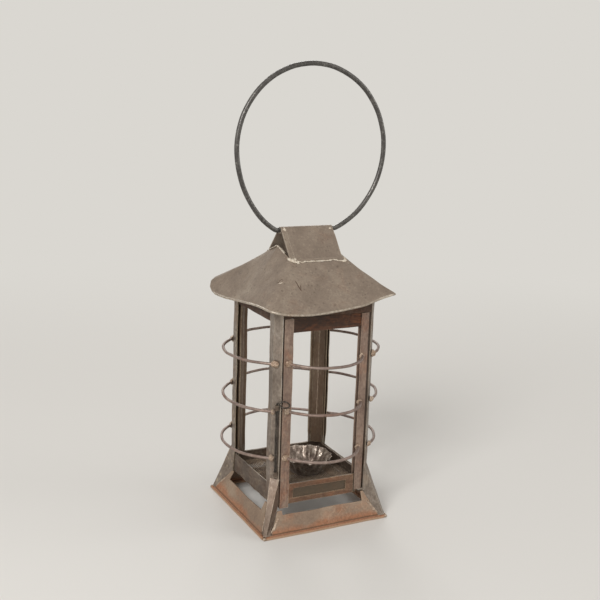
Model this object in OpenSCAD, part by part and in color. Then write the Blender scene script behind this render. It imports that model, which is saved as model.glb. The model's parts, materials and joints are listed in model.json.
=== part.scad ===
// Square candle lantern in hand-bent tinplate: four folded corner posts, three guard wires on
// each side, a hinged door, a hood with an open smoke cap and a big wire carrying ring.
// Millimetres, +Z up. The origin is the middle of the base, on the surface it stands on.
// The door faces -Y, and its hinge is at +X.

/* [Body] */
// Width of the body over its flat faces
body_w = 100; // [88:1:130]
// Set-back of the 45 degree face at each corner
chamfer_w = 6; // [5:0.5:8]
// Width of the flat leg beside each corner face
leg_w = 8; // [7:0.5:10]
// Thickness of the tinplate
sheet_t = 0.8; // [0.6:0.05:1]
// Clear width of the slots that once held panes
pane_slot = 2.4; // [2:0.1:3]
// Height of the lower edge of the bottom rails
rail_z = 25.5; // [22:0.5:32]
// Height of the left bottom rail and of the door's
rail_h = 18; // [15:0.5:24]
// Height of the right and rear bottom rails
low_rail_h = 14; // [12:0.5:24]
// Height of the inner lip that stands behind each bottom rail
rail_lip_h = 14.5; // [13.5:0.5:18]
// Clear height between the bottom rails and the headers
window_h = 149; // [110:1:190]

/* [Base] */
// How far the base stands out from each face of the body
base_out = 14; // [10:0.5:20]
// Diameter of the rolled hem along the bottom of the skirt
hem_d = 3.2; // [2.8:0.1:4]
// Height of the top edge of the skirt
skirt_h = 17; // [14:0.5:18.5]
// Height at which the posts kink out into feet
kink_z = 50; // [44:1:60]

/* [Floor and dish] */
// Height of the underside of the grid floor
floor_z = 30.4; // [29:0.1:32]
// Thickness of the grid floor
floor_t = 1.6; // [1.2:0.1:2]
// Gaps in the grid floor along each side
floor_gaps = 17; // [9:1:17]
// Width of one bar of the grid floor
floor_bar = 1.3; // [1:0.1:1.8]
// Diameter of the candle dish at its rim
dish_d = 48; // [42:1:60]
// Diameter of the flat bottom of the candle dish
dish_base_d = 29; // [24:1:34]
// Depth of the candle dish
dish_h = 16.5; // [12:0.5:22]
// Flutes round the wall of the dish
dish_flutes = 20; // [12:1:28]
// Place of the dish on the floor, to the right of the middle
dish_x = 8; // [-10:1:10]
// Place of the dish on the floor, behind the middle
dish_y = -2; // [-8:1:8]

/* [Hood] */
// How far the eaves stand out from each face of the body
eave_out = 12.5; // [10:0.5:18]
// Rise of the hood from the eaves to its opening
hood_rise = 43.5; // [34:0.5:52]
// How strongly the hood's hand-bent edge waves and curls up at its corners
eave_bend = 1; // [0:0.05:1.2]
// How far the rear left corner is flared out
corner_flare = 7; // [0:0.5:9]
// Rise of the hood's edge into each open end of the cap
gable_rise = 9; // [4:0.5:11]
// Length of the smoke cap
cap_l = 52; // [40:1:60]
// Half the depth of the smoke cap where it enters the hood
cap_half = 23; // [19:0.5:26]
// Slope of the smoke cap's plates
cap_angle = 50; // [45:1:55]

/* [Ring handle] */
// Radius of the carrying ring, to the middle of its wire
ring_r = 73.5; // [66:0.5:84]
// Sideways set of the bent ring from the middle of its pivot
ring_set = 4.4; // [0:0.2:6]
// Diameter of the ring's wire
ring_d = 4.4; // [3.6:0.1:5]

/* [Guard wires] */
// Diameter of the guard wires
guard_d = 2.6; // [2:0.1:3]
// How far the guard wires bow out from the body's faces
guard_reach = 24; // [14:1:30]
// Height of the lowest guard wire
guard_z = 69.5; // [62:0.5:76]
// Spacing of the guard wires
guard_pitch = 43.5; // [30:0.5:50]
// Radius of the solder beads at the wires' ends
bead_r = 2.1; // [1.9:0.05:2.2]

/* [Door] */
// Gap between the latch side of the door and its post
door_gap = 1.7; // [1:0.1:2.5]
// Width of the face of each door stile
stile_w = 8.5; // [7.5:0.1:10]
// Height of the bottom end of the latch stile
stile_z = 21.5; // [21:0.1:23]
// Height of the door's top rail
top_rail_h = 12.5; // [9:0.5:18]
// Height of the door's top edge over the headers' lower edges
door_over = 4; // [2:0.5:4.5]
// Diameter of the hinge pin
pin_d = 2.5; // [2:0.1:2.6]
// Wall of the rolled hinge sleeve
roll_t = 0.8; // [0.6:0.05:0.9]

/* [Latch] */
// Diameter of the latch wire
latch_d = 2.4; // [2:0.1:2.6]
// Height of the latch wire's eye
latch_z = 121.3; // [119:0.1:124]
// Radius of the latch wire's eye, to the middle of the wire
eye_r = 4.1; // [3.4:0.1:5]

/* [Hidden] */

// Colours
tin = "#8d8273";
rust = "#96674a";
iron = "#5f594c";
solder = "#cbbfae";
shiny = "#bfb8a6";

// Clearances
touch = 0.05;     // between sheets that are soldered together
seat = 0.3;       // between pieces that only rest on each other
run_fit = 0.05;   // radial, between a wire and the sleeve it turns in

h = body_w / 2;
fold = 2 * sheet_t + pane_slot;          // depth of a pane channel
inner_corner = sheet_t * (sqrt(2) - 1);  // mitre of the sheet at the 45 degree folds
leg_in = h - chamfer_w;                  // where a corner face meets its leg
leg_end = leg_in - leg_w;                // free edge of a leg
web_at = leg_in - 1.4;                   // back of a pane channel
lip_end = leg_end - 1.2;                 // free edge of a channel's rear lip
post_low = rail_z - 0.2;                 // lower end of the legs

header_z = rail_z + rail_h + window_h;
door_top_z = header_z + door_over;

// Hood
eave_half = h + eave_out;
hem_drop = 2;                            // height of the hood's folded hem
eave_z = door_top_z + 1.4 + hem_drop;
hood_z = eave_z + hood_rise;
hood_t = 1.3;                            // height of the sloping sheet, measured upright
hood_sag = 0.8;
hood_fit = 0.6;                          // between the opening's ends and the cap
hood_lap = hood_t / tan(cap_angle) + 0.5;   // the same over the cap's plates
hood_steps = 120;
hood_rows = 8;

// Smoke cap and ring
roll_in = ring_d / 2 + run_fit;
roll_out = roll_in + sheet_t;
cap_run = (cap_half - roll_out * sin(cap_angle)) / cos(cap_angle);
ridge_z = hood_z + cap_run * sin(cap_angle) - roll_out * cos(cap_angle);
cap_tuck = 3.2;                          // how far the cap's plates reach into the hood
ring_pivot = cap_l / 2 + 1.2;            // half length of the pivot
ring_straight = cap_l / 2 + 4;           // where its wire turns up
ring_up = ring_r - 0.5;
ring_a = asin((ring_straight + ring_set) / ring_r);
ring_b = asin((ring_straight - ring_set) / ring_r);

// Base
hem_r = hem_d / 2;
hem_flat = 0.4;                          // depth of the flat worn on the hem
hem_z = hem_r - hem_flat;
hem_end = hem_r + 0.1;                   // from a corner's ball to the end of a straight roll
base_half = h + base_out;
hem_mid = base_half - hem_r;
ear_z = rail_z - 0.5;                    // where the skirt's plane meets the body
skirt_lean = atan((base_out - 0.5) / ear_z);
skirt_low_ear = stile_z - 1;
foot_z = hem_z + hem_r + 0.2;
wing_toe = base_half - 9;                // where a wing reaches the hem
leg_low = leg_end + 4;                   // where the wing on a leg's side meets the skirt

// Door
door_y = -h;
door_back = door_y + fold - 0.6;
latch_x = -leg_in + door_gap;
hinge_r = pin_d / 2 + run_fit + roll_t;
hinge_x = leg_in - hinge_r - 1.4;
hinge_y = door_y + hinge_r;
hinge_stile_z = rail_z + 1.9;
rail_end_l = latch_x + stile_w;
rail_end_r = hinge_x + hinge_r - stile_w;
ear_top = hinge_stile_z - seat;
ear_t = 1.2;
flange_z = door_top_z + 0.5;
panel_in = [4.5, 9, 4.6];                // bare panel: from the left, right and top and bottom

// Guards
guard_r = guard_d / 2;
guard_levels = [for (i = [0:2]) guard_z + i * guard_pitch];
wire_end = 1.2;                          // from the middle of a corner face to a wire's end
mid_face = h - chamfer_w / 2;
side_half = mid_face - (wire_end - guard_r - 0.05) / sqrt(2);
side_bow = h + guard_reach - mid_face - (wire_end + guard_r + 0.05) / sqrt(2);
side_rad = (side_half * side_half + side_bow * side_bow) / (2 * side_bow);
side_a = asin(side_half / side_rad);
bead_along = 2.1;                        // place and height of a bead on a corner face
bead_off = guard_r + 0.3;
door_left = latch_x + stile_w / 2;
door_right = rail_end_r + 2.3;
door_half = (door_right - door_left) / 2;
door_mid = (door_right + door_left) / 2;
door_rad = (door_half * door_half + guard_reach * guard_reach) / (2 * guard_reach);
door_a = asin(door_half / door_rad);

// Latch
latch_r = latch_d / 2;
rod_off = latch_r + 1.1;                 // rod's middle from the corner face
rod_along = 1.25;                        // rod's place along the corner face, from its middle
rod_x = -(h - chamfer_w / 2) + (rod_along - rod_off) / sqrt(2);
rod_y = -(h - chamfer_w / 2) - (rod_along + rod_off) / sqrt(2);
eye_x = rod_x + 3.2;
eye_y = door_y - eye_r - latch_r - seat;
keeper_h = 4.6;
keeper_r = latch_r + 0.9;
keeper_low = kink_z + 3;
keeper_top = latch_z - latch_r - seat - keeper_h;
rod_z = kink_z + 1.5;

// Box given by its two corners
module block(a, b) {
    translate(a) cube(b - a);
}

// Plate standing in the front wall: its outline in x and z, its outer face at y
module wall_plate(outline, y, t) {
    translate([0, y + t, 0]) rotate([90, 0, 0]) linear_extrude(t) polygon(outline);
}

// Closed shell from rings of points, each ring a list of the same length
module ring_shell(rings) {
    n = len(rings);
    m = len(rings[0]);
    polyhedron(
        points = [for (r = rings) each r],
        faces = [for (i = [0:n - 1], j = [0:m - 1])
            let (a = i * m + j, b = i * m + (j + 1) % m, c = ((i + 1) % n) * m + (j + 1) % m,
                 d = ((i + 1) % n) * m + j)
            each [[a, c, b], [a, d, c]]]
    );
}

// Corner posts, drawn for the front left corner

// Face and legs of a post, seen from above
function post_face(y_end) = [
    [-h, y_end], [-h, -leg_in], [-leg_in, -h], [-leg_in + inner_corner, -h + sheet_t],
    [-h + sheet_t, -leg_in + inner_corner], [-h + sheet_t, y_end]
];

// Leg of a post
module leg() {
    polygon([[-h, -leg_in], [-h, -leg_end], [-h + sheet_t, -leg_end], [-h + sheet_t, -leg_in]]);
}

// Folded channel behind a leg, for a pane
module leg_channel() {
    polygon([
        [-h + sheet_t / 2, -web_at], [-h + fold, -web_at], [-h + fold, -lip_end],
        [-h + fold - sheet_t, -lip_end], [-h + fold - sheet_t, -web_at + sheet_t],
        [-h + sheet_t / 2, -web_at + sheet_t]
    ]);
}

// Foot: the corner face flares out between two wings and narrows to the corner of the base.
// A wing starts at a side distance of top, keeps it to the skirt and then follows the skirt's end.
function wing_at(z, top, low) =
    z > ear_z ? top + (low - top) * (kink_z - z) / (kink_z - ear_z) :
    low + (wing_toe - low) * (ear_z - z) / (ear_z - foot_z);

function wing_out(z) = h + (z < ear_z ? (ear_z - z) * tan(skirt_lean) - sheet_t / cos(skirt_lean)
    - touch + 0.5 : 0);

function foot_ring(z, door_side, t) =
    let (u = (kink_z - z) / kink_z,
         out = h + u * (base_half - 0.8 - h) - t,
         near = leg_in + u * (base_half - 2.6 - leg_in) - 0.4 * t)
    [[-(door_side ? wing_at(z, leg_in - 0.4, leg_in - 0.4) : wing_at(z, leg_end, leg_low)),
      -wing_out(z) + t, z], [-near, -out, z],
     [-out, -near, z], [-wing_out(z) + t, -wing_at(z, leg_end, leg_low), z]];

module foot(door_side) {
    levels = [kink_z, (kink_z + ear_z) / 2, ear_z + 0.3, ear_z - 0.3, (ear_z + foot_z) / 2, foot_z];
    rings = [for (z = levels)
        let (o = foot_ring(z, door_side, 0), i = foot_ring(z, door_side, sheet_t))
        concat(o, [for (k = [3:-1:0]) i[k]])];
    m = 8;
    n = len(rings);
    ends = [[0, 1, 7], [1, 6, 7], [1, 2, 6], [2, 5, 6], [2, 3, 5], [3, 4, 5]];
    // The inner and the outer side are split along the same diagonals, so the wall keeps its
    // thickness where a wing twists.
    polyhedron(
        points = [for (r = rings) each r],
        faces = concat(
            [for (i = [0:n - 2], j = [0:m - 1])
                let (a = i * m + j, b = i * m + (j + 1) % m)
                each j > 3 && j < 7
                    ? [[a, a + m, b], [b, a + m, b + m]]
                    : [[a, b + m, b], [a, a + m, b + m]]],
            ends,
            [for (f = ends) [for (k = [2, 1, 0]) f[k] + (n - 1) * m]])
    );
}

post_top_z = hood_under(leg_end, h) - 0.3;

module post(door_side) {
    translate([0, 0, kink_z - 0.01]) linear_extrude(post_top_z - kink_z + 0.01) {
        polygon(post_face(-leg_in));
        leg();
        if (!door_side) mirror([1, -1, 0]) leg();
    }
    translate([0, 0, post_low]) linear_extrude(post_top_z - post_low) {
        leg_channel();
        if (!door_side) mirror([1, -1, 0]) leg_channel();
    }
    if (door_side)
        block([-leg_in - sheet_t, -h + sheet_t / 2, post_low], [-leg_in, -h + 6, post_top_z]);
    foot(door_side);
}

module post_front_left() {
    color(tin) post(true);
}

module post_front_right() {
    color(tin) mirror([1, 0, 0]) post(true);
}

module post_rear_left() {
    color(tin) mirror([0, 1, 0]) post(false);
}

module post_rear_right() {
    color(tin) mirror([1, 0, 0]) mirror([0, 1, 0]) post(false);
}

// Skirt: a leaning strip with a rolled hem, its ends cut back beside the feet. Each ear is given
// by the wing that it meets, its height and the distance of its inner edge.

module skirt(left, right) {
    toe = wing_toe - 0.15;
    corner = base_half - hem_d - 2;
    lean = tan(skirt_lean);
    wall = sheet_t / cos(skirt_lean);
    function slant(ear) = [toe + (ear[0] - toe) * (ear[1] - foot_z) / (ear_z - foot_z), ear[1]];
    intersection() {
        rotate([90, 0, 90]) linear_extrude(2 * base_half, center = true) polygon([
            [-base_half + 0.2 * lean, 0.2], [-base_half + ear_z * lean, ear_z],
            [-base_half + ear_z * lean + wall, ear_z], [-base_half + 0.2 * lean + wall, 0.2]
        ]);
        wall_plate([
            [-corner, 0], [corner, 0], [corner, foot_z - 0.4], [toe, foot_z],
            slant(right), [right[2], right[1]], [right[2], skirt_h],
            [-left[2], skirt_h], [-left[2], left[1]], [-slant(left)[0], left[1]],
            [-toe, foot_z], [-corner, foot_z - 0.4]
        ], -base_half - 1, base_out + 6);
    }
    difference() {
        translate([0, -hem_mid, hem_z]) rotate([0, 90, 0])
            cylinder(r = hem_r, h = 2 * (hem_mid - hem_end), center = true, $fn = 32);
        block([-base_half, -base_half - 1, -hem_r], [base_half, -hem_mid + hem_d, 0]);
    }
}

door_ear = leg_in - 0.55;
leg_ear = leg_low - 0.15;

module skirt_front() {
    color(rust) skirt([door_ear, skirt_low_ear, leg_in - 3], [door_ear, ear_z - 0.4, leg_in - 3]);
}

module skirt_left() {
    color(rust) rotate([0, 0, -90]) skirt([leg_ear, ear_z - 0.4, leg_low - 3], [leg_ear, ear_z - 0.4, leg_low - 3]);
}

module skirt_right() {
    color(rust) rotate([0, 0, 90]) skirt([leg_ear, ear_z - 0.4, leg_low - 3], [leg_ear, ear_z - 0.4, leg_low - 3]);
}

module skirt_rear() {
    color(rust) rotate([0, 0, 180]) skirt([leg_ear, ear_z - 0.4, leg_low - 3], [leg_ear, ear_z - 0.4, leg_low - 3]);
}

// Solder that closes the four corners of the hem
module hem_corners() {
    color(solder) for (a = [0:90:270]) rotate([0, 0, a]) difference() {
        translate([-hem_mid, -hem_mid, hem_z]) sphere(r = hem_r, $fn = 32);
        block([-hem_mid + hem_end - touch, -base_half - 1, -hem_r], [0, 0, hem_d * 2]);
        block([-base_half - 1, -hem_mid + hem_end - touch, -hem_r], [0, 0, hem_d * 2]);
        block([-base_half - 1, -base_half - 1, -hem_r - 1], [0, 0, 0]);
    }
}

// Bottom rails, drawn for the front: a strip that slides into the posts' channels, a channel
// for the pane and a ledge under the floor
module side_rail(tall) {
    strip_y = -h + sheet_t + touch;
    end = web_at - sheet_t;
    short = lip_end - 0.2;
    lip_top = rail_z + rail_lip_h;
    web_z = lip_top - 5.5;
    block([-end, strip_y, rail_z], [end, strip_y + sheet_t, rail_z + tall]);
    block([-short, strip_y + sheet_t / 2, web_z], [short, -h + fold, web_z + sheet_t]);
    block([-short, -h + fold - sheet_t, web_z], [short, -h + fold, lip_top]);
    block([-short, strip_y + sheet_t / 2, floor_z - sheet_t], [short, -h + fold + 1.4, floor_z]);
}

module rail_left() {
    color(tin) rotate([0, 0, -90]) side_rail(rail_h);
}

module rail_right() {
    color(tin) rotate([0, 0, 90]) side_rail(low_rail_h);
}

module rail_rear() {
    color(tin) rotate([0, 0, 180]) side_rail(low_rail_h);
}

// Headers, drawn for the front: their top edges follow the underside of the hood
module header(low, wall, channel) {
    strip_y = -h + sheet_t + touch;
    steps = 12;
    end = web_at - sheet_t;
    short = lip_end - 0.2;
    web_z = low + 7;
    wall_plate(concat(
        [[-end, low], [end, low]],
        [for (i = [0:steps]) let (x = end - i * 2 * end / steps)
            [x, hood_under(x, h) - 0.2]]
    ), strip_y, wall);
    if (channel) {
        block([-short, strip_y + sheet_t / 2, web_z], [short, -h + fold, web_z + sheet_t]);
        block([-short, -h + fold - sheet_t, low], [short, -h + fold, web_z + sheet_t]);
    }
}

module header_left() {
    color(tin) rotate([0, 0, -90]) header(header_z, sheet_t, true);
}

module header_right() {
    color(tin) rotate([0, 0, 90]) header(header_z, sheet_t, true);
}

module header_rear() {
    color(tin) rotate([0, 0, 180]) header(header_z, sheet_t, true);
}

// The front header is short, and its flange holds the top of the hinge pin
module header_front() {
    reach = leg_in - inner_corner - touch;
    color(tin) difference() {
        union() {
            wall_plate(concat(
                [[-reach, flange_z], [reach, flange_z]],
                [for (i = [0:12]) let (x = reach - i * 2 * reach / 12)
                    [x, hood_under(x, h) - 0.55]]
            ), -h, sheet_t);
            block([-reach, -h + sheet_t / 2, flange_z], [reach, -h + 6, flange_z + sheet_t]);
        }
        translate([hinge_x, hinge_y, flange_z - 1])
            cylinder(r = pin_d / 2 + run_fit, h = sheet_t + 2, $fn = 48);
    }
}

// Grid floor
module floor_grid() {
    half = h - fold - 0.4;
    notch = half - leg_in + 0.5;
    rim = 4;
    pitch = 2 * (half - rim) / floor_gaps;
    gap = pitch - floor_bar;
    cells = [for (i = [0:floor_gaps - 1], j = [0:floor_gaps - 1])
        [-half + rim + floor_bar / 2 + i * pitch, -half + rim + floor_bar / 2 + j * pitch]];
    outline = [
        [-half + notch, -half], [half - notch, -half], [half - notch, -half + notch + 1.6],
        [half, -half + notch + 1.6], [half, half], [-half, half],
        [-half, -half + notch + 1.6], [-half + notch, -half + notch + 1.6]
    ];
    color(iron) translate([0, 0, floor_z]) linear_extrude(floor_t) polygon(
        points = concat(outline, [for (c = cells)
            each [c, c + [gap, 0], c + [gap, gap], c + [0, gap]]]),
        paths = concat([[0, 1, 2, 3, 4, 5, 6, 7]], [for (k = [0:len(cells) - 1])
            [for (m = [0:3]) 8 + 4 * k + m]])
    );
}

// Candle dish: a fluted tin standing on a pad of solder

dish_z = floor_z + floor_t + 0.6;
dish_t = 0.6;

function dish_point(a, u, off) =
    let (flute = cos(a * dish_flutes) * 1.1 * min(1, 4 * u) * (1 - 0.4 * u),
         r = dish_base_d / 2 + (dish_d - dish_base_d) / 2 * pow(u, 0.85) + flute - off)
    [r * cos(a), r * sin(a), u * dish_h];

module candle_dish() {
    steps = dish_flutes * 4;
    rows = [0, 0.25, 0.6, 1];
    color(shiny) translate([dish_x, dish_y, dish_z]) {
        cylinder(r = dish_base_d / 2 - 0.2, h = dish_t, $fn = 80);
        ring_shell([for (i = [0:steps - 1]) let (a = i * 360 / steps) concat(
            [for (u = rows) dish_point(a, u, dish_t)],
            [for (k = [3:-1:0]) dish_point(a, rows[k], 0)])]);
    }
}

module dish_solder() {
    color(solder) translate([dish_x, dish_y, floor_z + floor_t])
        cylinder(r = 7, h = dish_z - floor_z - floor_t, $fn = 48);
}

// Hood: one sheet closed by a lap at the front right, its corners curled up

// Height of the hood's edge over eave_z, by the angle round the hood: hand bent, so it waves
eave_wave = [
    [-180, 4.1], [-171, 5.4], [-154, 7.6], [-141, 8], [-135, 6.9], [-129, 5.1], [-116, 3.4],
    [-99, 3.8], [-81, 5.2], [-64, 8.1], [-51, 13.4], [-45, 15], [-39, 12], [-25, 7], [0, 4.5],
    [25, 4.5], [39, 8], [45, 9.5], [51, 8], [64, 4.5], [90, 3.5], [108, 6], [122, 11],
    [130, 13.5], [135, 10.5], [140, 3.6], [150, 1.4], [162, 2], [180, 4.1]
];
wave_n = len(eave_wave) - 1;

function wave_slope(i) =
    let (a = eave_wave[(i + wave_n - 1) % wave_n], b = eave_wave[(i + 1) % wave_n],
         wide = b[0] - a[0])
    (b[1] - a[1]) / (wide > 0 ? wide : wide + 360);

function eave_lift(f) =
    let (v = f > 180 ? f - 360 : f,
         i = [for (k = [0:wave_n - 1]) if (v >= eave_wave[k][0] && v <= eave_wave[k + 1][0]) k][0],
         a = eave_wave[i], b = eave_wave[i + 1], w = b[0] - a[0], t = (v - a[0]) / w)
    a[1] * (2 * pow(t, 3) - 3 * t * t + 1) + b[1] * (3 * t * t - 2 * pow(t, 3))
        + w * (wave_slope(i) * (pow(t, 3) - 2 * t * t + t)
               + wave_slope(i + 1) * (pow(t, 3) - t * t));

// The front right corner is sharp where the sheet laps, and the rear left one is flared
function tip_weight(f) = pow(max(0, cos(f + 45)), 40);
function flare(f) = corner_flare * pow(max(0, cos(f - 135)), 16);
function squareness(f, n) = pow(pow(abs(cos(f)), n) + pow(abs(sin(f)), n), -1 / n);
function eave_height(f) = eave_z + eave_bend * eave_lift(f);
function edge_height(f) =
    hood_z + gable_rise * max(0, abs(cos(f)) > abs(sin(f)) ? 1 - abs(tan(f)) : 0);

// Height of the underside of the hood over a wall at distance d, under its lowest edge
function hood_under(x, d) =
    let (s = (d - cap_half) / (eave_half - cap_half))
    (1 - s) * hood_z + s * (eave_z + eave_bend) - 4 * hood_sag * s * (1 - s) - hood_t;

function hood_point(f, s, out, drop) =
    let (q = squareness(f, 40), e = squareness(f, 11 + 33 * tip_weight(f)),
         x0 = (cap_l / 2 + hood_fit) * cos(f) * q,
         y0 = (cap_half + hood_lap) * sin(f) * q,
         x1 = (eave_half - 0.6 + out + flare(f)) * cos(f) * e,
         y1 = (eave_half - 0.6 + out + flare(f)) * sin(f) * e)
    [x0 + s * (x1 - x0), y0 + s * (y1 - y0),
     (1 - s) * edge_height(f) + s * eave_height(f) - 4 * hood_sag * s * (1 - s) - drop];

module roof_hood() {
    rows = [for (i = [0:hood_rows]) i / hood_rows];
    color(tin) ring_shell([for (i = [0:hood_steps - 1]) let (f = i * 360 / hood_steps) concat(
        [for (s = rows) hood_point(f, s, 0, 0)],
        [hood_point(f, 1, 0.6, hem_drop / 2), hood_point(f, 1, 0, hem_drop),
         hood_point(f, 0.96, 0, hem_drop)],
        [for (k = [hood_rows - 1:-1:0]) hood_point(f, rows[k], 0, hood_t)])]);
}

// Smoke cap: two sloping plates and the roll that the ring turns in, folded from one sheet

// Points round the roll, from angle a to angle b clockwise from the top
function roll_arc(a, b, n) =
    [for (i = [0:n]) let (v = a + (b - a) * i / n) roll_out * [sin(v), cos(v)]];

module smoke_cap() {
    lead = [sin(cap_angle), cos(cap_angle)];
    plate = (cap_run + cap_tuck) * [lead[1], -lead[0]];
    below = cap_angle + acos(roll_in / roll_out);
    ends = [roll_out * lead + plate, roll_in * lead + plate];
    color(tin) translate([-cap_l / 2, 0, ridge_z]) rotate([90, 0, 90]) linear_extrude(cap_l)
        difference() {
            polygon(concat(
                ends, roll_arc(below, 360 - below, 24),
                [for (k = [1, 0]) [-ends[k][0], ends[k][1]]],
                roll_arc(-cap_angle, cap_angle, 12)
            ));
            circle(r = roll_in, $fn = 64);
        }
}

// Carrying ring: a straight pivot in the cap's roll, then one bent wire drawn as a tube of rings

function unit(v) = v / norm(v);
function turned(v, a) = [v[0] * cos(a) - v[1] * sin(a), v[0] * sin(a) + v[1] * cos(a)];

// Points of a bend of radius r that rounds the corner b between a and c
function bend(a, b, c, r, n) =
    let (u = unit(a - b), w = unit(c - b), half = acos(u * w) / 2,
         mid = b + unit(u + w) * r / sin(half), from = b + u * r / tan(half) - mid,
         turn = (180 - 2 * half) * (cross(u, w) > 0 ? -1 : 1))
    [for (i = [0:n]) mid + turned(from, turn * i / n)];

// The ring's lower half is drawn out, so that it runs into its pivot on each side
function ring_point(a) = [ring_set + ring_r * sin(a),
    ring_up - (cos(a) < 0 ? ring_r : ring_up / cos(sin(a) > 0 ? ring_b : ring_a)) * cos(a)];

module ring_handle() {
    steps = 80;
    sides = 16;
    sweep = 360 - ring_a - ring_b;
    round_part = [for (i = [0:steps]) ring_point(ring_b + sweep * i / steps)];
    inner = [ring_pivot - 3, 0];
    knee = [ring_straight, 0];
    path = concat(
        [inner, [ring_pivot - 0.2, 0]],
        bend(inner, knee, round_part[1], 6, 4),
        [for (i = [1:steps - 1]) round_part[i]],
        bend(round_part[steps - 1], [-knee[0], 0], [-inner[0], 0], 6, 4),
        [[-ring_pivot + 0.2, 0], [-inner[0], 0]]
    );
    last = len(path) - 1;
    rings = [for (i = [0:last])
        let (t = unit(path[min(i + 1, last)] - path[max(i - 1, 0)]),
             r = ring_d / 2 * (i < 2 || i > last - 2 ? 0.6 : 1))
        [for (k = [0:sides - 1]) let (a = 360 * k / sides)
            [path[i][0] - t[1] * r * cos(a), r * sin(a), path[i][1] + t[0] * r * cos(a)]]];
    color(iron) translate([0, 0, ridge_z]) {
        rotate([0, 90, 0]) cylinder(r = ring_d / 2, h = 2 * ring_pivot + 0.2, center = true, $fn = 32);
        polyhedron(
            points = [for (g = rings) each g],
            faces = concat(
                [[for (k = [sides - 1:-1:0]) k], [for (k = [0:sides - 1]) last * sides + k]],
                [for (i = [0:last - 1], k = [0:sides - 1])
                    let (a = i * sides + k, b = i * sides + (k + 1) % sides)
                    each [[a, b, b + sides], [a, b + sides, a + sides]]])
        );
    }
}

// Moves to the middle of a front corner face, x along it and -y outwards
module on_corner_face(side, z) {
    translate([side * mid_face, -mid_face, z]) rotate([0, 0, side * 45]) children();
}

// Guard wires of the left, right and rear, drawn for the front
module side_guard(z) {
    translate([0, side_rad - h - guard_reach, z]) rotate([0, 0, -90 - side_a])
        rotate_extrude(angle = 2 * side_a, $fn = 128)
            translate([side_rad, 0]) circle(r = guard_r, $fn = 32);
}

// Beads of solder over both ends of each side wire
module side_beads() {
    for (z = guard_levels, side = [-1, 1]) on_corner_face(side, z) difference() {
        translate([-side * bead_along, -bead_off, 0]) rotate([0, 0, -90])
            sphere(r = bead_r, $fn = 32);
        translate([-side * (wire_end - 0.1), -guard_r - 0.05, 0])
            rotate([0, -side * 90, side * (side_a - 45)])
                cylinder(r = guard_r + 0.1, h = 4 * bead_r, $fn = 32);
        block([-2 * bead_r - 4, 0, -2 * bead_r], [2 * bead_r + 4, 4 * bead_r, 2 * bead_r]);
    }
}

module guard_left_low() {
    color(iron) rotate([0, 0, -90]) side_guard(guard_levels[0]);
}

module guard_left_mid() {
    color(iron) rotate([0, 0, -90]) side_guard(guard_levels[1]);
}

module guard_left_top() {
    color(iron) rotate([0, 0, -90]) side_guard(guard_levels[2]);
}

module guard_left_solder() {
    color(solder) rotate([0, 0, -90]) side_beads();
}

module guard_right_low() {
    color(iron) rotate([0, 0, 90]) side_guard(guard_levels[0]);
}

module guard_right_mid() {
    color(iron) rotate([0, 0, 90]) side_guard(guard_levels[1]);
}

module guard_right_top() {
    color(iron) rotate([0, 0, 90]) side_guard(guard_levels[2]);
}

module guard_right_solder() {
    color(solder) rotate([0, 0, 90]) side_beads();
}

module guard_rear_low() {
    color(iron) rotate([0, 0, 180]) side_guard(guard_levels[0]);
}

module guard_rear_mid() {
    color(iron) rotate([0, 0, 180]) side_guard(guard_levels[1]);
}

module guard_rear_top() {
    color(iron) rotate([0, 0, 180]) side_guard(guard_levels[2]);
}

module guard_rear_solder() {
    color(solder) rotate([0, 0, 180]) side_beads();
}

// Door

// Stile folded into a channel for a pane, open towards the middle of the door
module door_latch_stile() {
    color(rust) {
        block([latch_x, door_y, stile_z], [latch_x + stile_w, door_y + sheet_t, door_top_z]);
        block([latch_x, door_y, stile_z], [latch_x + sheet_t, door_back, door_top_z]);
        block([latch_x, door_back - sheet_t, stile_z],
              [latch_x + stile_w - 1, door_back, door_top_z]);
    }
}

// Stile rolled along its outer edge into the sleeve of the hinge
module door_hinge_stile() {
    rise = door_top_z - hinge_stile_z;
    web = hinge_x - hinge_r - sheet_t - 0.3;
    color(rust) difference() {
        union() {
            block([rail_end_r, door_y, hinge_stile_z], [hinge_x, door_y + sheet_t, door_top_z]);
            block([web, door_y, hinge_stile_z], [web + sheet_t, door_back, door_top_z]);
            block([rail_end_r - 1.5, door_back - sheet_t, hinge_stile_z],
                  [web + sheet_t, door_back, door_top_z]);
            translate([hinge_x, hinge_y, hinge_stile_z])
                cylinder(r = hinge_r, h = rise, $fn = 64);
        }
        translate([hinge_x, hinge_y, hinge_stile_z - 1])
            cylinder(r = pin_d / 2 + run_fit, h = rise + 2, $fn = 64);
    }
}

module door_top_rail() {
    low = door_top_z - top_rail_h;
    y = door_y + sheet_t + touch;
    color(rust) {
        block([latch_x + sheet_t + touch, y, low], [rail_end_r + 2, y + sheet_t, door_top_z]);
        block([rail_end_l, y, door_top_z - sheet_t],
              [rail_end_r - 1.6, door_back - sheet_t - touch, door_top_z]);
    }
}

// Bottom rail with a bare panel pressed into its face
module door_bottom_rail() {
    y = door_y + sheet_t + touch;
    low = rail_z - 0.5;
    top = rail_z + rail_h;
    color(rust) difference() {
        union() {
            block([rail_end_l + 0.1, door_y, low], [rail_end_r - 1.3, y + sheet_t, top]);
            block([latch_x + sheet_t + touch, y, low], [rail_end_r + 2, y + sheet_t, top]);
        }
        block([rail_end_l + panel_in[0], door_y - 1, low + panel_in[2]],
              [rail_end_r - panel_in[1], door_y + sheet_t, top - panel_in[2]]);
    }
}

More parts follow.
